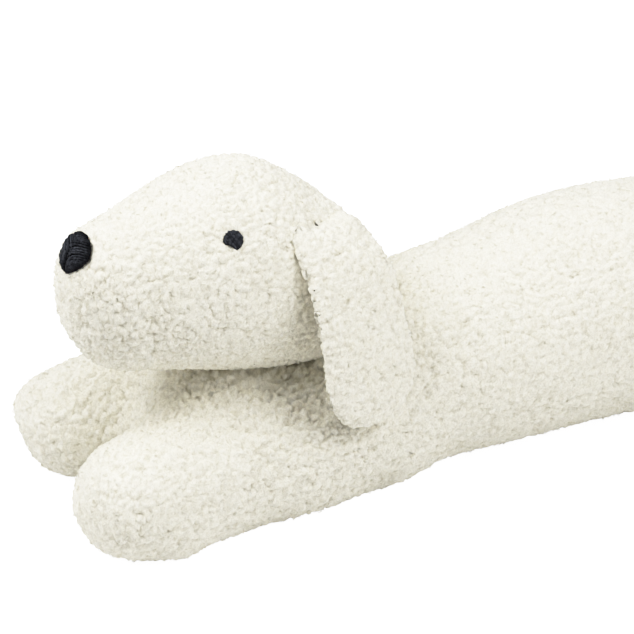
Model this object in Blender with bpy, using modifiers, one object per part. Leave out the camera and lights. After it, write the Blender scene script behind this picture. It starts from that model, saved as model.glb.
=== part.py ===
"""Dog-shaped draught excluder in curly boucle pile, lying on its belly with its forelegs stretched out.

Metres, +Z up. The dog lies along X with its snout towards -X, and the floor is z = 0. The solids reach
as far out as the pile does. The head, its ears, its eyes and its nose are shaped in the head's own
frame (u back along the head, v across it, z up) and then turned a little to the dog's left.
"""

import math

import bmesh
import bpy
import numpy as np
from mathutils import Matrix, Vector
from mathutils.bvhtree import BVHTree

# ---- driving dimensions -------------------------------------------------------------------------
LENGTH = 0.900          # paw tips to rump
BACK_HEIGHT = 0.148     # the stuffed tube of the back, as tall as it is wide
SINK = 0.004            # how far the filling flattens on the floor
GAP = 0.0004            # between pieces that touch

PAW_TIP = -LENGTH / 2 - 0.0025
RUMP = LENGTH / 2

FUSE_CELL = 0.0108      # cell that melts the sewn lobes of the body into one skin
FUSE_PASSES = 8         # smoothing passes over that skin
FUSE_GROWTH = 0.0016    # what the smoothing takes off, given back

HEAD_AT = (-0.300, 0.005)
HEAD_TURN = math.radians(10.5)

NOSE_SIZE = (0.0330, 0.0266)
NOSE_AT = (-0.137, 0.000, 0.1935)
NOSE_FACES = (-0.826, 0.000, 0.564)
EYE_SIZE = (0.0130, 0.0130)
EYE_AT = (-0.053, 0.0453, 0.1975)
EYE_FACES = (-0.210, 0.720, 0.660)
STITCH_PROUD = 0.0006   # how far the embroidery stands over the pile at its middle
STITCH_DEPTH = 0.0016   # how deep it is sunk in the pile

# Stations of the filled forms: along, centre across, half width, top z, bottom z.
TRUNK = [
    (-0.390, 0.000, 0.046, 0.094, -SINK),
    (-0.340, 0.000, 0.051, 0.100, -SINK),
    (-0.290, 0.000, 0.053, 0.102, -SINK),
    (-0.240, 0.000, 0.061, 0.112, -SINK),
    (-0.205, 0.000, 0.069, 0.126, -SINK),
    (-0.170, 0.000, 0.0715, 0.129, -SINK),
    (-0.150, 0.000, 0.0725, 0.133, -SINK),
    (-0.120, 0.000, 0.0740, 0.146, -SINK),
    (-0.090, 0.000, 0.0740, 0.150, -SINK),
    (0.000, 0.000, 0.0740, BACK_HEIGHT, -SINK),
    (0.300, 0.000, 0.0740, BACK_HEIGHT, -SINK),
    (RUMP, 0.000, 0.0710, 0.143, -SINK),
]
TRUNK_ROUND = (0.055, 0.062)

FORELEG = [
    (PAW_TIP, 0.0540, 0.0415, 0.077, -SINK),
    (-0.405, 0.0525, 0.0410, 0.077, -SINK),
    (-0.350, 0.0460, 0.0400, 0.078, -SINK),
    (-0.300, 0.0400, 0.0400, 0.080, -SINK),
    (-0.250, 0.0345, 0.0405, 0.083, -SINK),
    (-0.190, 0.0270, 0.0420, 0.085, -SINK),
]
FORELEG_ROUND = (0.038, 0.050)

HEAD = [
    (-0.145, 0.000, 0.0360, 0.212, 0.118),
    (-0.112, 0.000, 0.0400, 0.206, 0.111),
    (-0.080, 0.000, 0.0520, 0.211, 0.103),
    (-0.040, 0.000, 0.0620, 0.220, 0.091),
    (0.000, 0.000, 0.0640, 0.215, 0.080),
    (0.035, 0.000, 0.0590, 0.188, 0.078),
    (0.065, 0.000, 0.0520, 0.156, 0.086),
    (0.090, 0.000, 0.0450, 0.136, 0.094),
]
HEAD_ROUND = (0.030, 0.050)

# Stations down an ear: u, v and z of its middle, half width, half thickness, slope of its width.
EAR = [
    (0.010, 0.026, 0.182, 0.024, 0.0045, 22),
    (0.011, 0.042, 0.187, 0.031, 0.0058, 20),
    (0.013, 0.056, 0.180, 0.0330, 0.0064, 17),
    (0.014, 0.068, 0.167, 0.0335, 0.0066, 13),
    (0.014, 0.078, 0.150, 0.0335, 0.0066, 8),
    (0.014, 0.085, 0.131, 0.0335, 0.0066, 6),
    (0.015, 0.089, 0.110, 0.0340, 0.0066, 4),
    (0.016, 0.091, 0.090, 0.0345, 0.0066, 2),
    (0.016, 0.091, 0.069, 0.0340, 0.0066, 0),
]
EAR_ROUND = (0.012, 0.032)


# ---- helpers ------------------------------------------------------------------------------------


def clear_scene():
    for old in list(bpy.data.objects):
        bpy.data.objects.remove(old)


def new_collection(name):
    made = bpy.data.collections.new(name)
    bpy.context.scene.collection.children.link(made)
    return made


def new_material(name, colour, roughness):
    made = bpy.data.materials.new(name)
    made.use_nodes = True
    shader = made.node_tree.nodes["Principled BSDF"]
    shader.inputs["Base Color"].default_value = (*colour, 1)
    shader.inputs["Roughness"].default_value = roughness
    shader.inputs["Metallic"].default_value = 0
    return made


def new_object(name, shape, group):
    bmesh.ops.recalc_face_normals(shape, faces=shape.faces)
    if shape.calc_volume(signed=True) < 0:
        bmesh.ops.reverse_faces(shape, faces=shape.faces)
    mesh = bpy.data.meshes.new(name)
    shape.to_mesh(mesh)
    shape.free()
    made = bpy.data.objects.new(name, mesh)
    group.objects.link(made)
    return made


def read_column(places, column, at):
    """A smooth curve through the values of one column of a table of stations."""
    slopes = np.gradient(column, places)
    i = int(np.clip(np.searchsorted(places, at) - 1, 0, len(places) - 2))
    step = places[i + 1] - places[i]
    t = (at - places[i]) / step
    start = (1 + 2 * t) * (1 - t) ** 2 * column[i] + t * (1 - t) ** 2 * step * slopes[i]
    end = t * t * (3 - 2 * t) * column[i + 1] + t * t * (t - 1) * step * slopes[i + 1]
    return start + end


def end_roundness(at, first, last, rounds):
    """How much of its full girth a form has: 0 at both ends, 1 between its rounded ends."""
    share = 1
    for distance, radius in ((at - first, rounds[0]), (last - at, rounds[1])):
        if distance < radius:
            share *= math.sqrt(max(0, 1 - (1 - distance / radius) ** 2))
    return share


def ring_place(first, last, k, rings):
    """Where ring k of a form sits: closer together over the rounded ends."""
    even = k / rings
    bunched = 0.5 - 0.5 * math.cos(math.pi * even)
    return first + (last - first) * (0.45 * even + 0.55 * bunched)


def sphere_net(rings, sides):
    """A sphere primitive, with the ring number and the turn of each of its points."""
    shape = bmesh.new()
    bmesh.ops.create_uvsphere(shape, u_segments=sides, v_segments=rings, radius=1)
    net = []
    for point in shape.verts:
        ring = round(math.acos(max(-1, min(1, point.co.z))) / math.pi * rings)
        net.append((point, ring, math.atan2(point.co.y, point.co.x)))
    return shape, net


def filled_form(name, stations, rounds, rings, sides, group):
    """A stuffed form that lies along the first column of its stations, closed to a pole at each end."""
    shape, net = sphere_net(rings, sides)
    table = np.array(stations)
    places = table[:, 0]
    for point, ring, turn in net:
        at = ring_place(places[0], places[-1], ring, rings)
        girth = end_roundness(at, places[0], places[-1], rounds)
        middle, half, top, bottom = (read_column(places, table[:, c], at) for c in (1, 2, 3, 4))
        point.co = (
            at,
            middle + girth * half * math.cos(turn),
            (top + bottom) / 2 + girth * (top - bottom) / 2 * math.sin(turn),
        )
    return new_object(name, shape, group)


def filled_flap(name, stations, rounds, rings, sides, side, group):
    """A soft flat form hanging along a path; side is -1 for the dog's left and 1 for its right."""
    shape, net = sphere_net(rings, sides)
    table = np.array(stations)
    steps = np.linalg.norm(np.diff(table[:, :3], axis=0), axis=1)
    along = np.concatenate([[0], np.cumsum(steps)])
    for point, ring, turn in net:
        at = ring_place(0, along[-1], ring, rings)
        girth = end_roundness(at, 0, along[-1], rounds)
        here = Vector(read_column(along, table[:, c], at) for c in (0, 1, 2))
        ahead = Vector(read_column(along, table[:, c], min(at + 1e-3, along[-1])) for c in (0, 1, 2))
        behind = Vector(read_column(along, table[:, c], max(at - 1e-3, 0)) for c in (0, 1, 2))
        half, thick, slope = (read_column(along, table[:, c], at) for c in (3, 4, 5))
        down = (ahead - behind).normalized()
        width = Vector((math.cos(math.radians(slope)), 0, -math.sin(math.radians(slope))))
        out = down.cross(width).normalized()
        width = out.cross(down)
        place = here + width * half * girth * math.cos(turn) + out * thick * girth**0.6 * math.sin(turn)
        point.co = (place.x, side * place.y, place.z)
    return new_object(name, shape, group)


def mirrored(stations):
    return [(x, -y, half, top, bottom) for x, y, half, top, bottom in stations]


def stitched_pad(name, ground, centre, faces, size, over, under, group, crown=1.0, sides=24, rings=4):
    """A patch of embroidery that follows the form it is stitched on, from `over` down to `under`."""
    shape = bmesh.new()
    faces = Vector(faces).normalized()
    across = faces.cross(Vector((0, 0, 1))).normalized()
    upward = across.cross(faces)
    surface = BVHTree.FromPolygons(
        [vertex.co for vertex in ground.data.vertices],
        [tuple(face.vertices) for face in ground.data.polygons],
    )

    def pair(share, turn):
        reach = across * math.cos(turn) * (1 + 0.10 * math.sin(turn)) * size[0] / 2
        aim = Vector(centre) + (reach + upward * math.sin(turn) * size[1] / 2) * share
        hit = surface.ray_cast(aim + faces * 0.03, -faces)[0]
        swell = over * (1 - crown * share**4)
        return shape.verts.new(hit + faces * swell), shape.verts.new(hit - faces * under)

    middle = pair(0, 0)
    loops = [[pair(k / rings, 2 * math.pi * j / sides) for j in range(sides)] for k in range(1, rings + 1)]
    for layer in (0, 1):
        for j in range(sides):
            n = (j + 1) % sides
            shape.faces.new((middle[layer], loops[0][j][layer], loops[0][n][layer]))
            for inner, outer in zip(loops, loops[1:]):
                shape.faces.new((inner[j][layer], outer[j][layer], outer[n][layer], inner[n][layer]))
    for j in range(sides):
        n = (j + 1) % sides
        rim = loops[-1]
        shape.faces.new((rim[j][0], rim[j][1], rim[n][1], rim[n][0]))
    return new_object(name, shape, group)


def bake(made):
    """Replaces an object's mesh with what its modifiers make of it."""
    bpy.context.view_layer.update()
    evaluated = made.evaluated_get(bpy.context.evaluated_depsgraph_get())
    mesh = bpy.data.meshes.new_from_object(evaluated)
    made.modifiers.clear()
    made.data = mesh
    return made


def join_lobes(name, lobes):
    """One skin over several stuffed lobes, melted where they meet."""
    joined = lobes[0]
    joined.name = name
    for lobe in lobes[1:]:
        union = joined.modifiers.new("join " + lobe.name, "BOOLEAN")
        union.operation = "UNION"
        union.object = lobe
    bake(joined)
    for lobe in lobes[1:]:
        bpy.data.objects.remove(lobe)
    melt = joined.modifiers.new("melt", "REMESH")
    melt.mode = "VOXEL"
    melt.voxel_size = FUSE_CELL
    ease = joined.modifiers.new("ease", "SMOOTH")
    ease.factor = 0.5
    ease.iterations = FUSE_PASSES
    swell = joined.modifiers.new("swell", "DISPLACE")
    swell.strength = FUSE_GROWTH
    swell.mid_level = 0
    return bake(joined)


def as_helper(made, group):
    for owner in list(made.users_collection):
        owner.objects.unlink(made)
    group.objects.link(made)
    made.hide_render = True
    made.display_type = "WIRE"
    return made


def grown_copy(made, by, group):
    """A helper a little larger than a piece all over, to cut its neighbour with."""
    helper = bpy.data.objects.new(made.name + "_clearance", made.data.copy())
    as_helper(helper, group)
    grow = helper.modifiers.new("grow", "DISPLACE")
    grow.strength = by
    grow.mid_level = 0
    return bake(helper)


def cut(made, helper):
    difference = made.modifiers.new("clear of " + helper.name, "BOOLEAN")
    difference.operation = "DIFFERENCE"
    difference.object = helper


def floor_helper(group):
    """A slab under z = 0, which cuts the flat that the filling rests on."""
    shape = bmesh.new()
    bmesh.ops.create_cube(shape, size=1, matrix=Matrix.Diagonal((1.2, 0.6, 0.1, 1)))
    slab = new_object("floor_cut", shape, group)
    slab.data.transform(Matrix.Translation((0, 0, -0.05)))
    return as_helper(slab, group)


def centre_on_floor(pieces, helpers):
    """Moves everything so that the origin is under the middle of the pieces."""
    bpy.context.view_layer.update()
    graph = bpy.context.evaluated_depsgraph_get()
    corners = np.array([corner for made in pieces.objects for corner in made.evaluated_get(graph).bound_box])
    low, high = corners.min(axis=0), corners.max(axis=0)
    shift = Matrix.Translation((-(low[0] + high[0]) / 2, -(low[1] + high[1]) / 2, -low[2]))
    for made in (*pieces.objects, *helpers.objects):
        made.data.transform(shift)


def finish(made, look):
    made.data.materials.clear()
    made.data.materials.append(look)
    made.data.shade_smooth()


# ---- the pieces ---------------------------------------------------------------------------------


def build():
    clear_scene()
    pieces = new_collection("draught_excluder")
    helpers = new_collection("cutters")
    boucle = new_material("boucle", (0.86, 0.84, 0.78), 0.95)
    thread = new_material("thread", (0.012, 0.013, 0.018), 0.7)

    trunk = filled_form("trunk", TRUNK, TRUNK_ROUND, 44, 32, pieces)
    leg_left = filled_form("leg_left", mirrored(FORELEG), FORELEG_ROUND, 20, 24, pieces)
    leg_right = filled_form("leg_right", FORELEG, FORELEG_ROUND, 20, 24, pieces)
    body = join_lobes("body", [trunk, leg_left, leg_right])

    head = filled_form("head", HEAD, HEAD_ROUND, 30, 36, pieces)
    around_head = grown_copy(head, GAP, helpers)
    patches = [("nose", NOSE_AT, NOSE_FACES, NOSE_SIZE)]
    ears = []
    for name, side in (("left", -1), ("right", 1)):
        at = (EYE_AT[0], side * EYE_AT[1], EYE_AT[2])
        faces = (EYE_FACES[0], side * EYE_FACES[1], EYE_FACES[2])
        patches.append(("eye_" + name, at, faces, EYE_SIZE))
        ear = filled_flap("ear_" + name, EAR, EAR_ROUND, 22, 18, side, pieces)
        cut(ear, around_head)
        ears.append(bake(ear))
    pads = []
    beds = []
    for name, at, faces, size in patches:
        pad = stitched_pad(name, head, at, faces, size, STITCH_PROUD, STITCH_DEPTH, pieces)
        pads.append(pad)
        room = (size[0] + 2 * GAP, size[1] + 2 * GAP)
        bed = stitched_pad(name + "_bed", head, at, faces, room, 0.006, STITCH_DEPTH + GAP, helpers, 0)
        beds.append(as_helper(bed, helpers))
    for bed in beds:
        cut(head, bed)
    bake(head)

    turn = Matrix.Translation((*HEAD_AT, 0)) @ Matrix.Rotation(HEAD_TURN, 4, "Z")
    for made in (head, around_head, *ears, *pads, *beds):
        made.data.transform(turn)
    cut(body, around_head)
    cut(body, floor_helper(helpers))

    centre_on_floor(pieces, helpers)

    for made in (body, head, *ears):
        finish(made, boucle)
    for made in pads:
        finish(made, thread)


build()
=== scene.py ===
"""Dog-shaped draught excluder: a long stuffed dog in curly cream pile, lying on its belly.

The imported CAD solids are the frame. Each soft one is replaced by a finer skin on the same form, with
the tufts of its pile raised in the mesh and loose curls sewn into it. Metres, +Z up, snout to -X.
"""
import math

import bmesh
import bpy
import numpy as np
from mathutils import Matrix, Vector, noise
from mathutils.bvhtree import BVHTree


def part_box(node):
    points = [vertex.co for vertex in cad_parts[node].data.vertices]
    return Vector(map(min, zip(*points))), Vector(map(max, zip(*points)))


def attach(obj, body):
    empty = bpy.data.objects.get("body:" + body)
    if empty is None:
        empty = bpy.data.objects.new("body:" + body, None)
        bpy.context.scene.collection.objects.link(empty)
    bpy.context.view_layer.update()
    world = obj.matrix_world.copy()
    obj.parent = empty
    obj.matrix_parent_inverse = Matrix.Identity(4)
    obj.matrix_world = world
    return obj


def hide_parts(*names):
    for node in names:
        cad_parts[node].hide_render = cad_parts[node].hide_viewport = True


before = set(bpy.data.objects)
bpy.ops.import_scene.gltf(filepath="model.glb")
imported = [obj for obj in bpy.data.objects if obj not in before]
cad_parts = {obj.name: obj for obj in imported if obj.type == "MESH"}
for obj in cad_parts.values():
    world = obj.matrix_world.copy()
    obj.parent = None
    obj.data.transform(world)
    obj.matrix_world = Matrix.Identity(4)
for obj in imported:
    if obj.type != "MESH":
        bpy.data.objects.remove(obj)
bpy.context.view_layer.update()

# ---- Cover of the body -----------------------------------------------------------------------------
# The body is a tube of curly pile fabric with two forelegs sewn into its front, stuffed firmly.
# It is one cover, shown as three lengths that meet inside the pile. It lies flat on the floor.

TUFT = 0.0046           # one tuft of curls, across
PILE_DEPTH = 0.0034     # from the ground of the fabric to the top of a tuft
PILE_SINK = 0.6         # share of that depth by which the ground lies inside the solid
TUFT_SPREAD = 0.10      # share by which a tuft opens towards its top
LUMP = 0.0009           # slow rise and fall of the fabric over its stuffing
LUMPS = 22              # about so many of them to the metre
FLOOR_CLEAR = 0.0002    # nothing comes closer to the floor than this
BODY_CELL = 0.0064      # cell of the even mesh laid on the solid, before it is divided in four
BODY_EASING = 12        # smoothing passes over that mesh
BODY_CUTS = (-0.235, 0.090)
CLOSED = 0.75           # least height of the tufts that close over a parting made for stitches
SEAM_GAP = 0.0030       # between two skins that are sewn together: their piles fill it
SEAM_EASING = 4         # smoothing passes where a skin has been brought up
CHEST_RISE = 0.0130     # the chest comes up to the head wherever the gap is less than this
CURL_SIZE = (0.0007, 0.0012)
CURL_THICK = 0.00026
CURL_SPACING = 0.0076   # as many loose curls as squares of this side cover the skin
CURL_LEAN = 65          # most degrees that a curl leans
CURL_OPEN = (15, 60)    # degrees by which each end of a curl runs on past a half circle
CURL_TONE = 0.85        # a curl is coloured as pile of this height, too high to take any of the painted shade of the partings

CREAM = (0.87, 0.84, 0.725)
# Painted shade: the colour the pile takes down in the partings between its tufts, where shade falls.
PARTING_SHADE = (0.61, 0.575, 0.465)

noise.seed_set(4)       # or noise_vector would take its offsets from the clock


def even_skin(node, cell, easing, levels):
    """An even, smooth mesh on a CAD solid, sunk by the depth of the pile."""
    skin = bpy.data.objects.new(node + "_skin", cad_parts[node].data.copy())
    bpy.context.scene.collection.objects.link(skin)
    shape = bmesh.new()
    shape.from_mesh(skin.data)
    bmesh.ops.remove_doubles(shape, verts=shape.verts, dist=1e-5)
    shape.to_mesh(skin.data)
    shape.free()
    skin.data.materials.clear()
    net = skin.modifiers.new("even net", "REMESH")
    net.mode = "VOXEL"
    net.voxel_size = cell
    net.use_smooth_shade = True
    ease = skin.modifiers.new("ease", "SMOOTH")
    ease.factor = 0.5
    ease.iterations = easing
    divide = skin.modifiers.new("divide", "SUBSURF")
    divide.levels = levels
    sink = skin.modifiers.new("sink", "DISPLACE")
    sink.mid_level = 0
    sink.strength = -PILE_SINK * PILE_DEPTH
    bpy.context.view_layer.update()
    mesh = bpy.data.meshes.new_from_object(skin.evaluated_get(bpy.context.evaluated_depsgraph_get()))
    skin.modifiers.clear()
    skin.data = mesh
    return skin


def read_points(mesh, what):
    values = np.empty(len(mesh.vertices) * 3, np.float32)
    mesh.vertices.foreach_get(what, values)
    return values.reshape(-1, 3)


def push(skin, pushes, hold=lambda place: 1.0):
    """Shapes a skin with given pushes: each push moves what lies within reach of its middle, softly."""
    places = read_points(skin.data, "co").astype(float)
    for middle, reach, shift in pushes:
        away = np.linalg.norm(places - middle, axis=1) / reach
        near = np.flatnonzero(away < 2)
        held = np.array([hold(Vector(places[i])) for i in near])
        places[near] += (np.exp(-away[near] ** 2 * 1.5) * held)[:, None] * shift
    skin.data.vertices.foreach_set("co", places.ravel())
    skin.data.update()


def pile_at(place):
    """Height of the pile at a place, from 0 in a parting to 1 on a tuft, and the middle of its tuft."""
    spot = place / TUFT
    bend = noise.noise_vector(spot * 0.8) * 0.5
    distances, middles, *_ = noise.voronoi(spot + bend)
    dome = max(0.0, 1 - (distances[0] / 0.95) ** 2)
    parting = min(1.0, (distances[1] - distances[0]) / 0.5)
    curl = 1 - abs(noise.noise(spot * 2.3 + bend)) * 2.4
    # The tuft's dome, the parting round it and its single curls share the height.
    height = 0.42 * dome + 0.30 * parting * (2 - parting) + 0.28 * max(0.0, curl)
    return height, (middles[0] - bend) * TUFT


def deeper(place, spots):
    """How much deeper the pile is near some spots, each given by its middle, reach and share."""
    more = 0.0
    for middle, reach, share in spots:
        more += share * math.exp(-((place - Vector(middle)).length / reach) ** 2)
    return 1 + more


def raise_pile(skin, short=lambda place: 1.0, spots=()):
    """Raises the tufts in a skin, and keeps their height in the attribute that its material reads to paint
    shade in the partings.

    short gives the length of the pile at a place, and spots are as in deeper.
    """
    mesh = skin.data
    places = read_points(mesh, "co")
    outward = read_points(mesh, "normal")
    heights = np.empty(len(places), np.float32)
    for i, point in enumerate(places):
        place = Vector(point)
        height, middle = pile_at(place)
        heights[i] = height
        length = short(place)
        if length > 1:
            height = max(height, CLOSED)
        length *= deeper(place, spots)
        normal = Vector(outward[i])
        aside = place - middle
        aside -= normal * aside.dot(normal)
        lump = noise.noise(place * LUMPS) * LUMP
        spread = aside * TUFT_SPREAD * height * length
        places[i] = place + normal * (height * PILE_DEPTH * length + lump) + spread
    places[:, 2] = np.maximum(places[:, 2], FLOOR_CLEAR)
    mesh.vertices.foreach_set("co", places.ravel())
    pile = mesh.attributes.new("pile", "FLOAT", "POINT")
    pile.data.foreach_set("value", heights)
    mesh.update()


def press_to(skin, ground, reach, apart, sewn):
    """Brings a skin up to its neighbour, the ground, but for a gap of apart; sewn picks the points."""
    places = read_points(skin.data, "co")
    outward = read_points(skin.data, "normal")
    moved = []
    for i in np.flatnonzero(sewn(places)):
        place = Vector(places[i])
        foot, out, _, gap = ground.find_nearest(place, reach)
        if not foot or gap < apart or (place - foot).dot(out) < 0:
            continue
        towards = (foot - place) / gap
        facing = min(1.0, max(0.0, 2 * Vector(outward[i]).dot(towards)))
        near = 1 - gap / reach
        places[i] = place + towards * (gap - apart) * facing * near * near * (3 - 2 * near)
        moved.append(i)
    skin.data.vertices.foreach_set("co", places.ravel())
    shape = bmesh.new()
    shape.from_mesh(skin.data)
    shape.verts.ensure_lookup_table()
    moved = [shape.verts[i] for i in moved]
    for _ in range(SEAM_EASING):
        bmesh.ops.smooth_vert(
            shape, verts=moved, factor=0.5, use_axis_x=True, use_axis_y=True, use_axis_z=True
        )
    shape.to_mesh(skin.data)
    shape.free()
    skin.data.update()


def solid_of(*nodes):
    """The CAD solids of some nodes, to measure from and to cast rays at."""
    places, faces = [], []
    for node in nodes:
        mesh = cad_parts[node].data
        faces += [tuple(corner + len(places) for corner in face.vertices) for face in mesh.polygons]
        places += [vertex.co for vertex in mesh.vertices]
    return BVHTree.FromPolygons(places, faces)


def surface_of(skin):
    """A skin as it is now, to measure from."""
    return BVHTree.FromPolygons(
        [vertex.co for vertex in skin.data.vertices],
        [tuple(face.vertices) for face in skin.data.polygons],
    )


def loose_curls(name, skin, seed, keep_clear=lambda places: np.ones(len(places), bool)):
    """Short open loops of yarn that stand in the pile, scattered over a skin."""
    draw = np.random.default_rng(seed)
    mesh = skin.data
    mesh.calc_loop_triangles()
    corners = np.empty(len(mesh.loop_triangles) * 3, np.int32)
    mesh.loop_triangles.foreach_get("vertices", corners)
    corners = corners.reshape(-1, 3)
    places = read_points(mesh, "co")
    outward = read_points(mesh, "normal")
    a, b, c = (places[corners[:, k]] for k in range(3))
    area = np.linalg.norm(np.cross(b - a, c - a), axis=1) / 2
    count = int(area.sum() / CURL_SPACING**2)
    chosen = draw.choice(len(area), count, p=area / area.sum())
    along, across = draw.random((2, count, 1))
    along, across = 1 - np.sqrt(along), np.sqrt(along) * across
    root = a[chosen] * along + b[chosen] * across + c[chosen] * (1 - along - across)
    normal = outward[corners[chosen]].mean(axis=1)
    normal /= np.linalg.norm(normal, axis=1, keepdims=True)
    size = draw.uniform(*CURL_SIZE, (count, 1))
    tangent = np.cross(normal, draw.normal(size=(count, 3)))
    tangent /= np.linalg.norm(tangent, axis=1, keepdims=True)
    lean = np.radians(draw.uniform(-CURL_LEAN, CURL_LEAN, (count, 1)))
    rise = normal * np.cos(lean) + np.cross(normal, tangent) * np.sin(lean)
    axis = np.cross(tangent, rise)
    steps, sides = 5, 3
    open_by = np.radians(draw.uniform(*CURL_OPEN, (count, 1)))
    rings = []
    for step in range(steps):
        turn = -open_by + (math.pi + 2 * open_by) * step / (steps - 1)
        spoke = tangent * np.cos(turn) + rise * np.sin(turn)
        middle = root + normal * size * 0.25 + spoke * size
        for side in range(sides):
            angle = 2 * math.pi * side / sides
            rings.append(middle + (spoke * math.cos(angle) + axis * math.sin(angle)) * CURL_THICK)
    points = np.stack(rings, axis=1)
    points[:, :, 2] = np.maximum(points[:, :, 2], FLOOR_CLEAR)
    points = points[keep_clear(root)]
    count = len(points)
    quads = []
    for step in range(steps - 1):
        for side in range(sides):
            n = (side + 1) % sides
            low, high = step * sides, (step + 1) * sides
            quads.append((low + side, low + n, high + n, high + side))
    faces = (np.array(quads)[None] + (np.arange(count) * steps * sides)[:, None, None]).reshape(-1, 4)
    mesh = bpy.data.meshes.new(name)
    mesh.from_pydata(points.reshape(-1, 3).tolist(), [], faces.tolist())
    pile = mesh.attributes.new("pile", "FLOAT", "POINT")
    pile.data.foreach_set("value", np.full(len(mesh.vertices), CURL_TONE, np.float32))
    mesh.shade_smooth()
    made = bpy.data.objects.new(name, mesh)
    bpy.context.scene.collection.objects.link(made)
    return made


def lengths(skin, names, cuts):
    """Parts a skin into lengths along x. Each face goes to one of them, so nothing is doubled."""
    made = []
    edges = (-math.inf, *cuts, math.inf)
    for name, low, high in zip(names, edges, edges[1:]):
        shape = bmesh.new()
        shape.from_mesh(skin.data)
        away = [face for face in shape.faces if not low <= face.calc_center_median().x < high]
        bmesh.ops.delete(shape, geom=away, context="FACES")
        mesh = bpy.data.meshes.new(name)
        shape.to_mesh(mesh)
        shape.free()
        piece = bpy.data.objects.new(name, mesh)
        bpy.context.scene.collection.objects.link(piece)
        made.append(piece)
    bpy.data.objects.remove(skin)
    return made


def new_material(name, colour, roughness):
    material = bpy.data.materials.new(name)
    material.use_nodes = True
    tree = material.node_tree
    shader = tree.nodes["Principled BSDF"]
    shader.inputs["Base Color"].default_value = (*colour, 1)
    shader.inputs["Roughness"].default_value = roughness
    return material, tree, shader


def noise_over(tree, scale, distortion=0.0):
    """A noise texture on the piece's own coordinates."""
    place = tree.nodes.new("ShaderNodeTexCoord")
    made = tree.nodes.new("ShaderNodeTexNoise")
    made.inputs["Scale"].default_value = scale
    made.inputs["Distortion"].default_value = distortion
    tree.links.new(place.outputs["Object"], made.inputs["Vector"])
    return made


def boucle_material():
    """Cream wool with painted shade: warmer and darker down in the partings, and fine fibres over every
    curl, painted lighter along each fibre and darker between them as well as bumped.
    """
    material, tree, shader = new_material("boucle", CREAM, 0.9)
    link = tree.links.new
    pile = tree.nodes.new("ShaderNodeAttribute")
    pile.attribute_name = "pile"
    depth = tree.nodes.new("ShaderNodeMapRange")
    depth.inputs["From Min"].default_value = 0.05
    depth.inputs["From Max"].default_value = 0.5
    link(pile.outputs["Fac"], depth.inputs["Value"])
    # Painted shade: low pile, down in a parting, turns towards the parting colour.
    yarn = tree.nodes.new("ShaderNodeMix")
    yarn.data_type = "RGBA"
    yarn.inputs["A"].default_value = (*PARTING_SHADE, 1)
    yarn.inputs["B"].default_value = (*CREAM, 1)
    link(depth.outputs["Result"], yarn.inputs["Factor"])
    blotches = noise_over(tree, 38)
    tone = tree.nodes.new("ShaderNodeMix")
    tone.data_type = "RGBA"
    tone.blend_type = "MULTIPLY"
    tone.inputs["B"].default_value = (0.985, 0.98, 0.96, 1)
    link(blotches.outputs["Fac"], tone.inputs["Factor"])
    link(yarn.outputs["Result"], tone.inputs["A"])
    fibres = noise_over(tree, 430, 0.8)
    crossing = tree.nodes.new("ShaderNodeMath")
    crossing.operation = "SUBTRACT"
    crossing.inputs[1].default_value = 0.5
    link(fibres.outputs["Fac"], crossing.inputs[0])
    off_line = tree.nodes.new("ShaderNodeMath")
    off_line.operation = "ABSOLUTE"
    link(crossing.outputs["Value"], off_line.inputs[0])
    strands = tree.nodes.new("ShaderNodeMapRange")
    strands.inputs["From Min"].default_value = 0.0
    strands.inputs["From Max"].default_value = 0.11
    strands.inputs["To Min"].default_value = 1.0
    strands.inputs["To Max"].default_value = 0.0
    link(off_line.outputs["Value"], strands.inputs["Value"])
    wool = tree.nodes.new("ShaderNodeMix")
    wool.data_type = "RGBA"
    wool.blend_type = "MULTIPLY"
    wool.inputs["Factor"].default_value = 1.0
    # Painted highlight and shade: the fibres are painted lighter along their lines and darker between them;
    # the same lines are bumped.
    painted_fibre_light_and_shade = tree.nodes.new("ShaderNodeMix")
    painted_fibre_light_and_shade.data_type = "RGBA"
    painted_fibre_light_and_shade.inputs["A"].default_value = (0.85, 0.84, 0.81, 1)
    painted_fibre_light_and_shade.inputs["B"].default_value = (1.08, 1.08, 1.08, 1)
    link(strands.outputs["Result"], painted_fibre_light_and_shade.inputs["Factor"])
    link(tone.outputs["Result"], wool.inputs["A"])
    link(painted_fibre_light_and_shade.outputs["Result"], wool.inputs["B"])
    link(wool.outputs["Result"], shader.inputs["Base Color"])
    fuzz = tree.nodes.new("ShaderNodeBump")
    fuzz.inputs["Strength"].default_value = 0.35
    fuzz.inputs["Distance"].default_value = 0.0006
    link(strands.outputs["Result"], fuzz.inputs["Height"])
    link(fuzz.outputs["Normal"], shader.inputs["Normal"])
    shader.inputs["Sheen Weight"].default_value = 0.2
    shader.inputs["Sheen Roughness"].default_value = 0.6
    shader.inputs["Subsurface Weight"].default_value = 0.2
    shader.inputs["Subsurface Radius"].default_value = (1.0, 0.9, 0.7)
    shader.inputs["Subsurface Scale"].default_value = 0.001
    return material


boucle = boucle_material()


def dress(piece, material, slot, *nodes):
    """Gives a finished piece its material and its place in the object."""
    piece.data.materials.clear()
    piece.data.materials.append(material)
    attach(piece, "root")
    if nodes:
        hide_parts(*nodes)


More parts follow.
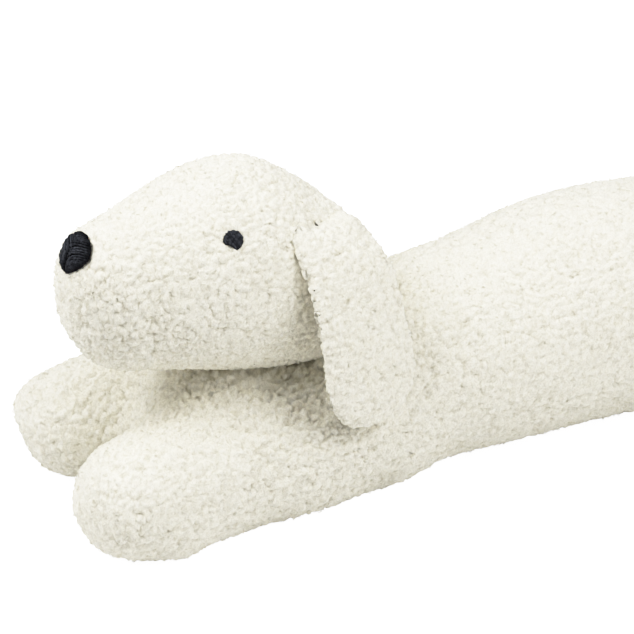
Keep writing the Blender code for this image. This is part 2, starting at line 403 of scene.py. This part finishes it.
body_skin = even_skin("body", BODY_CELL, BODY_EASING, 2)
push(body_skin, (
    ((-0.441, 0.066, 0.046), 0.024, (-0.0050, 0.0, 0.0)),  # tip of the right paw
    ((-0.418, 0.070, 0.064), 0.024, (0.0, 0.0, -0.0034)),  # top of the right paw
    ((-0.258, -0.0765, 0.0165), 0.022, (0.0, 0.0042, 0.0024)),  # left elbow
    ((-0.330, -0.0835, 0.0150), 0.020, (0.0, 0.0028, 0.0012)),  # left foreleg
    ((-0.392, -0.0840, 0.0070), 0.020, (0.0, -0.0048, -0.0010)),  # sole of the left paw
    ((-0.447, -0.0550, 0.0370), 0.022, (-0.0032, 0.0, 0.0)),  # tip of the left paw
    ((-0.075, -0.0620, 0.0200), 0.060, (0.0, 0.0022, 0.0006)),  # belly
))
press_to(body_skin, solid_of("head"), CHEST_RISE, SEAM_GAP / 3, lambda places: places[:, 0] < -0.18)
body_ground = surface_of(body_skin)
raise_pile(body_skin, spots=(((-0.300, -0.045, 0.085), 0.060, 1.3),))
body_parts = lengths(body_skin, ("body_front", "body_middle", "body_rear"), BODY_CUTS)
for number, part in enumerate(body_parts):
    dress(part, boucle, "boucle", "body")
    dress(loose_curls(part.name + "_curls", part, 11 + number), boucle, "boucle")

# ---- Head ------------------------------------------------------------------------------------------
# The head is a stuffed lobe of the same fabric, sewn on top of the chest. The pile is parted under the
# embroidered nose and eyes, and the tufts round them lean over their edges.

HEAD_CELL = 0.0052
HEAD_EASING = 8
HEAD_TURN = math.radians(10.5)
NOSE_FACES = (-0.826, 0.0, 0.564)
EYE_FACES = (-0.210, 0.720, 0.660)
EYE_RADIUS = 0.0060
EYE_BITE = 0.0021       # how far the pile comes in over the lower front of an eye
EYE_LAP = 0.0004        # how far the tufts round an eye lean over it
NOSE_LAP = 0.0012       # and those all round the nose
LEANING = 1.5           # how much longer those tufts are
NOSE_ASIDE = 0.0017     # the stitches sit this far off the middle of their solid
NOSE_WIDE = 0.0147      # half the width of the nose, along its widest line
NOSE_LINE = 0.0014      # that line lies this far over its middle
NOSE_ABOVE = 0.0112     # from the line up to the top, which is an oval
NOSE_BELOW = 0.0147     # and from it down to the lower tip
NOSE_POINTED = 1.6      # 1 would make the lower part an oval too


around = np.radians(np.linspace(-90, 90, 61))
nose_heights = NOSE_LINE + np.sin(around) * np.where(around > 0, NOSE_ABOVE, NOSE_BELOW)
nose_widths = NOSE_WIDE * np.cos(around) ** np.where(around > 0, 1, NOSE_POINTED)
nose_turns = np.arctan2(nose_heights, nose_widths)
nose_reaches = np.hypot(nose_heights, nose_widths)


def nose_reach(turn):
    """Distance from the middle of the nose to its outline, in the direction turn."""
    return float(np.interp(math.asin(math.sin(turn)), nose_turns, nose_reaches))


def eye_reach(side):
    """The outline of an eye: nearly round, short of a bite; side is -1 for the left eye, 1 for the right."""
    front = math.radians(-90 - side * 34)

    def reach(turn):
        away = abs((turn - front + math.pi) % (2 * math.pi) - math.pi)
        bite = EYE_BITE * math.sqrt(math.cos(min(math.pi / 2, 2.5 * away)))
        return EYE_RADIUS * (1 + 0.03 * math.sin(3 * turn + 1)) - bite

    return reach


class Patch:
    """The place of an embroidered patch: a plane that faces out of the head, and its outline."""

    def __init__(self, node, faces, reach, lap, aside=0.0):
        self.faces = Matrix.Rotation(HEAD_TURN, 3, "Z") @ Vector(faces).normalized()
        self.across = self.faces.cross(Vector((0, 0, 1))).normalized()
        self.upward = self.across.cross(self.faces)
        low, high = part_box(node)
        self.middle = (low + high) / 2 + self.across * aside
        self.reach = reach
        self.lap = lap
        self.ground = solid_of(node, "head")

    def on_ground(self, x, y, lift):
        """The point of the patch at x across and y up, lifted off the solid under it."""
        aim = self.middle + self.across * x + self.upward * y
        hit = self.ground.ray_cast(aim + self.faces * 0.02, -self.faces)[0] or aim
        return hit + self.faces * lift

    def rim(self, place):
        """How far a place lies outside the patch; less than 0 on it."""
        offset = place - self.middle
        if offset.dot(self.faces) < -0.015:
            return 1.0
        x, y = offset.dot(self.across), offset.dot(self.upward)
        return math.hypot(x, y) - self.reach(math.atan2(y, x))

    def pile_length(self, place):
        """0 under the patch, 1 clear of it, and more where its edge is covered."""
        rim = self.rim(place)
        if rim > 0.01:
            return 1.0
        clear = min(1.0, max(0.0, (rim + self.lap) / 0.0010 + 0.5))
        leans = max(0.0, 1 - abs(rim + self.lap / 2) / (self.lap / 2 + 0.001))
        return clear * (1 + (LEANING - 1) * leans)


patches = {"nose": Patch("nose", NOSE_FACES, nose_reach, NOSE_LAP, NOSE_ASIDE)}
for name, side in (("left", -1), ("right", 1)):
    faces = (EYE_FACES[0], side * EYE_FACES[1], EYE_FACES[2])
    patches["eye_" + name] = Patch("eye_" + name, faces, eye_reach(side), EYE_LAP)


def pile_length(place):
    return min(patch.pile_length(place) for patch in patches.values())


def clear_of_patches(place):
    """0 on a patch and 1 a little way off it."""
    rims = [patch.rim(place) for patch in patches.values()]
    return min(1.0, max(0.0, min(rims) / 0.008))


head = even_skin("head", HEAD_CELL, HEAD_EASING, 2)
push(head, (
    ((-0.385, 0.015, 0.205), 0.035, (-0.0006, 0.0, 0.0024)),  # bridge of the snout
    ((-0.335, 0.010, 0.218), 0.040, (0.0, 0.0, 0.0022)),  # forehead
    ((-0.312, 0.000, 0.219), 0.022, (0.0, 0.0, 0.0020)),  # crown
    *(((-0.259, y, 0.183), 0.018, (0.0012, 0.0, 0.0058)) for y in (-0.028, 0.028)),  # behind the ears
), clear_of_patches)
press_to(head, body_ground, 0.008, SEAM_GAP, lambda places: places[:, 2] < 0.13)
head_ground = surface_of(head)
raise_pile(head, pile_length, (((-0.400, -0.045, 0.115), 0.050, 0.4),))
head.name = "head_cover"
dress(head, boucle, "boucle", "head")


def off_the_patches(places):
    return np.array([pile_length(Vector(place)) > 0.9 for place in places])


dress(loose_curls("head_curls", head, 21, off_the_patches), boucle, "boucle")

# ---- Ears ------------------------------------------------------------------------------------------
# Each ear is a thin padded flap. It grows out of the side of the head at its top, where the seam is
# lost in the pile, and hangs free below the jaw.

EAR_CELL = 0.0028
EAR_EASING = 6
EAR_ROOT = (0.016, 0.042)   # below its top: fully grown into the head to here, free from here on
EAR_THICK = 0.014           # how far its outer side stands off the head at the root
EAR_MELT = 0.005            # how gently its edge rises out of the head there
EAR_TUCK = 0.0022           # how deep its foot is tucked into the pile of the head
EAR_SEWN = 0.048            # its pile meets that of the head down to here
EAR_FILLET = 0.003          # how far the foot of that edge spreads over the head


def grow_from_head(ear):
    """Blends the top of an ear into the head it is sewn to, and leaves the rest of it as it is."""
    places = read_points(ear.data, "co")
    outward = read_points(ear.data, "normal")
    top = places[:, 2].max()
    for i, point in enumerate(places):
        free = max(0.0, (top - point[2] - EAR_ROOT[0]) / (EAR_ROOT[1] - EAR_ROOT[0]))
        if free >= 1:
            continue
        grown = 1 - free * free * (3 - 2 * free)
        place = Vector(point)
        foot, out = head_ground.find_nearest(place)[:2]
        height = max(0.0, (place - foot).dot(out))
        eased = height * height / (height + EAR_MELT) * (1 + EAR_MELT / EAR_THICK)
        eased -= EAR_TUCK * max(0.0, 1 - height / EAR_THICK)
        spread = EAR_FILLET * max(0.0, 1 - height / EAR_THICK) ** 2
        normal = Vector(outward[i])
        sideways = normal - out * normal.dot(out)
        places[i] = place + (out * (eased - height) + sideways * spread) * grown
    ear.data.vertices.foreach_set("co", places.ravel())
    ear.data.update()


for number, side in enumerate(("left", "right")):
    ear = even_skin("ear_" + side, EAR_CELL, EAR_EASING, 1)
    grow_from_head(ear)
    low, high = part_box("ear_" + side)
    inner, inward = (high.y, -1) if side == "left" else (low.y, 1)
    # Lifts the top of the ear towards the crown, and draws the side below it forward.
    push(ear, (
        ((high.x - 0.0257, inner + inward * 0.006, high.z - 0.0086), 0.016, (0.0012, 0.0, 0.0072)),
        ((high.x - 0.0165, inner + inward * 0.0277, high.z - 0.019), 0.016, (-0.0024, 0.0, -0.0012)),
    ))
    press_to(ear, head_ground, 0.012, SEAM_GAP, lambda places: places[:, 2] > high.z - EAR_SEWN)
    raise_pile(ear)
    ear.name = "ear_" + side + "_cover"
    dress(ear, boucle, "boucle", "ear_" + side)
    dress(loose_curls("ear_" + side + "_curls", ear, 31 + number), boucle, "boucle")

# ---- Nose ------------------------------------------------------------------------------------------
# The nose is satin stitch in thick black thread over a small padded mound. Its two halves fan out from
# a fold that runs from the middle of the nose down to its lower tip.

NOSE_THREADS = 30       # in each half
NOSE_THREAD = 0.00056   # half a thread's thickness
NOSE_SWELL = 0.0011
NOSE_FOLD = 0.0024      # depth of the fold


def strand(shape, path, thick, tones, sides=5):
    """A twisted thread along a path, closed at both ends."""
    # Each ring keeps a tone: how much of the thread's painted highlight it takes; on the nose it carries
    # painted shade too.
    tone = shape.verts.layers.float["tone"]
    rings = []
    for number, (here, ahead, up) in enumerate(path):
        along = ahead.normalized()
        side = along.cross(up).normalized()
        rise = side.cross(along)
        ply = thick * (1 + 0.3 * math.sin(2.3 * number + 900 * here.y))
        turns = [2 * math.pi * k / sides for k in range(sides)]
        ring = [shape.verts.new(here + (side * math.cos(t) + rise * math.sin(t)) * ply) for t in turns]
        for vertex in ring:
            vertex[tone] = tones[number]
        rings.append(ring)
    for low, high in zip(rings, rings[1:]):
        for k in range(sides):
            n = (k + 1) % sides
            shape.faces.new((low[k], low[n], high[n], high[k]))
    shape.faces.new(rings[0][::-1])
    shape.faces.new(rings[-1])


def stitch(shape, patch, plan, lift, thick, shade, steps=12):
    """A thread of a patch: plan gives its x and y at a share of its length, lift and shade the rest, shade
    being how much painted highlight it takes.
    """
    points = [patch.on_ground(*plan(k / steps), lift(k / steps)) for k in range(steps + 1)]
    path = []
    for k, here in enumerate(points):
        ahead = points[min(k + 1, steps)] - points[max(k - 1, 0)]
        path.append((here, ahead, patch.faces))
    strand(shape, path, thick, [shade(*plan(k / steps)) for k in range(steps + 1)])


def nose_fold(x, y):
    """Depth of the fold: it opens below the middle of the nose."""
    return NOSE_FOLD * max(0.0, 1 - abs(x) / 0.0034) ** 1.5 * min(1.0, max(0.0, 0.3 - y / 0.005))


def mound(shape, patch, swell, sink, fold=lambda x, y: 0.0, rings=8, sides=72):
    """The padded ground under the threads, closed below."""
    loops = []
    for k in range(rings + 1):
        share = k / rings
        loop = []
        for j in range(sides):
            turn = 2 * math.pi * j / sides
            reach = patch.reach(turn) * share * 0.97
            x, y = reach * math.cos(turn), reach * math.sin(turn)
            lift = swell * (1 - share**3) - fold(x, y) - 0.0004
            loop.append(shape.verts.new(patch.on_ground(x, y, lift)))
        loops.append(loop)
    loops.append([shape.verts.new(point.co - patch.faces * sink) for point in loops[-1]])
    for inner, outer in zip(loops, loops[1:]):
        for j in range(sides):
            n = (j + 1) % sides
            shape.faces.new((inner[j], outer[j], outer[n], inner[n]))
    shape.faces.new(loops[-1][::-1])
    bmesh.ops.remove_doubles(shape, verts=loops[0], dist=1e-6)


def stitched_piece(name, shape):
    bmesh.ops.recalc_face_normals(shape, faces=shape.faces)
    mesh = bpy.data.meshes.new(name)
    shape.to_mesh(mesh)
    shape.free()
    mesh.shade_smooth()
    made = bpy.data.objects.new(name, mesh)
    bpy.context.scene.collection.objects.link(made)
    return made


def thread_material():
    """Black cotton with a painted highlight: dull blue-grey where light would run along the twist of a
    thread, as much as each stitch's tone allows.
    """
    material, tree, shader = new_material("thread", (0.006, 0.007, 0.009), 0.55)
    link = tree.links.new
    twist = noise_over(tree, 700, 0.6)
    shade = tree.nodes.new("ShaderNodeMix")
    shade.data_type = "RGBA"
    shade.inputs["A"].default_value = (0.001, 0.001, 0.002, 1)
    shade.inputs["B"].default_value = (0.085, 0.092, 0.110, 1)
    ply_side = tree.nodes.new("ShaderNodeMapRange")
    ply_side.inputs["From Min"].default_value = 0.30
    ply_side.inputs["From Max"].default_value = 0.72
    link(twist.outputs["Fac"], ply_side.inputs["Value"])
    tone = tree.nodes.new("ShaderNodeAttribute")
    tone.attribute_name = "tone"
    # Painted highlight: the blue-grey is laid on by the twist, times the tone that each stitch carries.
    painted_thread_highlight = tree.nodes.new("ShaderNodeMath")
    painted_thread_highlight.operation = "MULTIPLY"
    link(ply_side.outputs["Result"], painted_thread_highlight.inputs[0])
    link(tone.outputs["Fac"], painted_thread_highlight.inputs[1])
    link(painted_thread_highlight.outputs["Value"], shade.inputs["Factor"])
    link(shade.outputs["Result"], shader.inputs["Base Color"])
    ply = tree.nodes.new("ShaderNodeBump")
    ply.inputs["Strength"].default_value = 0.8
    ply.inputs["Distance"].default_value = 0.0002
    link(ply_side.outputs["Result"], ply.inputs["Height"])
    link(ply.outputs["Normal"], shader.inputs["Normal"])
    shader.inputs["Specular IOR Level"].default_value = 0.06
    return material


thread = thread_material()


def nose_plan(side, number):
    """Where one thread of the nose runs: up out of the fold, then over to the outline."""
    share = (number + 0.5) / NOSE_THREADS
    turn = math.radians(-88 + 176 * share)
    reach = nose_reach(turn) * (0.99 + 0.03 * math.sin(7.3 * number + side))
    end = (reach * math.cos(turn), reach * math.sin(turn))
    low, high = NOSE_LINE - NOSE_BELOW, NOSE_LINE + NOSE_ABOVE
    height = min(1.0, max(0.0, (end[1] - low) / (high - low)))
    rise = 0.010 * max(0.0, math.sin(math.pi * height**0.8)) ** 0.8
    foot = max(low * 0.97, end[1] - rise)
    start = (0.0003 - 0.0018 * min(1.0, max(0.0, foot / 0.004 + 0.2)), foot)
    bend = (start[0] + (end[0] - start[0]) * 0.28, start[1] + (end[1] - start[1]) * 0.75)

    def plan(at):
        a, b, c = (1 - at) ** 2, 2 * at * (1 - at), at * at
        return (
            side * (a * start[0] + b * bend[0] + c * end[0]),
            a * start[1] + b * bend[1] + c * end[1],
        )

    def lift(at):
        x, y = plan(at)
        share = math.hypot(x, y) / nose_reach(math.atan2(y, abs(x)))
        tuck = 0.0012 * max(0.0, (at - 0.9) / 0.1) ** 2
        return NOSE_SWELL * (1 - min(1.0, share) ** 3) - nose_fold(x, y) - tuck

    return plan, lift


def new_stitches():
    shape = bmesh.new()
    shape.verts.layers.float.new("tone")
    return shape


shape = new_stitches()
mound(shape, patches["nose"], NOSE_SWELL - 0.0003, 0.0016, nose_fold)
draw = np.random.default_rng(5)
for side in (-1, 1):
    for number in range(NOSE_THREADS):
        plan, lift = nose_plan(side, number)
        raised = draw.uniform(-0.0006, 0.0005)
        # how much painted highlight this thread takes, at random
        bright = draw.uniform(0.4, 1.05)

        def lifted(at, lift=lift, raised=raised):
            return lift(at) + raised

        def shade(x, y, bright=bright):
            """Painted shade: the thread is darkened towards the outline and down in the fold."""
            out = math.hypot(x, y) / nose_reach(math.atan2(y, abs(x)))
            fold = nose_fold(x, y) / NOSE_FOLD
            return bright * max(0.0, 1 - out**4) * max(0.0, 1 - 1.6 * fold)

        thick = NOSE_THREAD * draw.uniform(0.8, 1.25)
        stitch(shape, patches["nose"], plan, lifted, thick, shade, 22)
dress(stitched_piece("nose_stitches", shape), thread, "thread", "nose")

# ---- Eyes ------------------------------------------------------------------------------------------
# Each eye is a round patch of slanting black stitches, pulled a little into the pile, which takes a bite
# out of its lower front.

EYE_THREADS = 25
EYE_THREAD = 0.00034
EYE_SLANT = math.radians(62)
EYE_SWELL = 0.0002


def eye_plan(number, side):
    """One thread of an eye, straight across along its slant; each ends a little off the outline."""
    off = (2 * (number + 0.5) / EYE_THREADS - 1) * EYE_RADIUS * 0.97
    slant = EYE_SLANT if side < 0 else math.pi - EYE_SLANT
    outline = eye_reach(side)

    def spot(along):
        return (
            along * math.cos(slant) - off * math.sin(slant),
            along * math.sin(slant) + off * math.cos(slant),
        )

    def share(along):
        x, y = spot(along)
        return math.hypot(x, y) / outline(math.atan2(y, x))

    ends = 1.03 + 0.06 * math.sin(5.1 * number)     # the stitches end unevenly
    inside = [along for along in np.linspace(-1.1, 1.1, 111) * EYE_RADIUS if share(along) < ends]
    if len(inside) < 6:
        return None
    low, high = inside[0], inside[-1]

    def plan(at):
        return spot(low + (high - low) * at)

    def lift(at):
        tuck = 0.0009 * max(0.0, (abs(2 * at - 1) - 0.8) / 0.2) ** 2
        return EYE_SWELL * (1 - min(1.0, share(low + (high - low) * at)) ** 3) - tuck

    return plan, lift


for name, side in (("left", -1), ("right", 1)):
    patch = patches["eye_" + name]
    shape = new_stitches()
    mound(shape, patch, EYE_SWELL - 0.0003, 0.0014, rings=5, sides=36)
    for number in range(EYE_THREADS):
        thread_run = eye_plan(number, side)
        if thread_run:
            # how much painted highlight this thread takes, at random
            bright = draw.uniform(0.2, 0.8)
            thick = EYE_THREAD * draw.uniform(0.85, 1.2)
            stitch(shape, patch, *thread_run, thick, lambda x, y, bright=bright: bright, 9)
    dress(stitched_piece("eye_" + name + "_stitches", shape), thread, "thread", "eye_" + name)

# ---- Floor, light and camera -----------------------------------------------------------------------
# A plain pale floor under four large soft lights. Floor and sky glow white for the camera alone: for
# the dog the floor is plain paper, and the sky is faint.

FLOOR_SIZE = 12.0
LAMP_SIZE = 1.4

shape = bmesh.new()
bmesh.ops.create_grid(shape, x_segments=1, y_segments=1, size=FLOOR_SIZE / 2)
mesh = bpy.data.meshes.new("floor")
shape.to_mesh(mesh)
shape.free()
floor = bpy.data.objects.new("floor", mesh)
bpy.context.scene.collection.objects.link(floor)
paper, paper_tree, paper_shader = new_material("paper", (0.9, 0.9, 0.9), 0.9)
seen = paper_tree.nodes.new("ShaderNodeLightPath")
glow = paper_tree.nodes.new("ShaderNodeMath")
glow.operation = "MULTIPLY"
glow.inputs[1].default_value = 1.7
paper_tree.links.new(seen.outputs["Is Camera Ray"], glow.inputs[0])
paper_tree.links.new(glow.outputs["Value"], paper_shader.inputs["Emission Strength"])
paper_shader.inputs["Emission Color"].default_value = (1, 1, 1, 1)
mesh.materials.append(paper)

world = bpy.data.worlds.new("studio")
world.use_nodes = True
sky = world.node_tree.nodes["Background"]
seen = world.node_tree.nodes.new("ShaderNodeLightPath")
bright = world.node_tree.nodes.new("ShaderNodeMapRange")
bright.inputs["To Min"].default_value = 0.10
bright.inputs["To Max"].default_value = 2.0
world.node_tree.links.new(seen.outputs["Is Camera Ray"], bright.inputs["Value"])
world.node_tree.links.new(bright.outputs["Result"], sky.inputs["Strength"])
sky.inputs["Color"].default_value = (1, 1, 1, 1)
bpy.context.scene.world = world


def soft_box(name, towards, away, power, aim):
    lamp = bpy.data.lights.new(name, "AREA")
    lamp.size = LAMP_SIZE
    lamp.energy = power
    made = bpy.data.objects.new(name, lamp)
    made.location = Vector(aim) + Vector(towards).normalized() * away
    made.rotation_euler = Vector(towards).to_track_quat("Z", "Y").to_euler()
    bpy.context.scene.collection.objects.link(made)


VIEW_TURN = math.radians(-23.5056)
VIEW_RISE = math.radians(28.4508)
VIEW_TARGET = Vector((-0.2681, -0.0067, 0.1046))
VIEW_DISTANCE = 1.8866
VIEW_LENS = 170.22

for name, turn, rise, away, power in (
    ("top", 270, 62, 1.6, 24.6),
    ("right", 38, 44, 2.2, 41),
    ("left", 255, 36, 2.0, 14),
    ("behind", 215, 50, 2.2, 8),
):
    turn, rise = math.radians(turn), math.radians(rise)
    towards = (math.sin(turn) * math.cos(rise), -math.cos(turn) * math.cos(rise), math.sin(rise))
    soft_box(name, towards, away, power, VIEW_TARGET)

camera = bpy.data.cameras.new("camera")
camera.lens = VIEW_LENS
camera.sensor_width = 36
viewer = bpy.data.objects.new("camera", camera)
back = Vector((
    math.sin(VIEW_TURN) * math.cos(VIEW_RISE),
    -math.cos(VIEW_TURN) * math.cos(VIEW_RISE),
    math.sin(VIEW_RISE),
))
viewer.location = VIEW_TARGET + back * VIEW_DISTANCE
viewer.rotation_euler = back.to_track_quat("Z", "Y").to_euler()
bpy.context.scene.collection.objects.link(viewer)
bpy.context.scene.camera = viewer

TONE_WHITE = 2.0        # scene light that the picture shows as white
TONE_GAIN = 4.6
TONE_BEND = 1.33        # shadows fall off a little faster than the light does
TONE_STEPS = (0.16, 0.26, 0.33, 0.43, 0.49, 0.66)

picture = bpy.context.scene.view_settings
picture.view_transform = "Standard"
picture.use_curve_mapping = True
picture.curve_mapping.white_level = (TONE_WHITE,) * 3
for light in TONE_STEPS:
    picture.curve_mapping.curves[3].points.new(light, 1 - math.exp(-TONE_GAIN * light**TONE_BEND))
picture.curve_mapping.update()
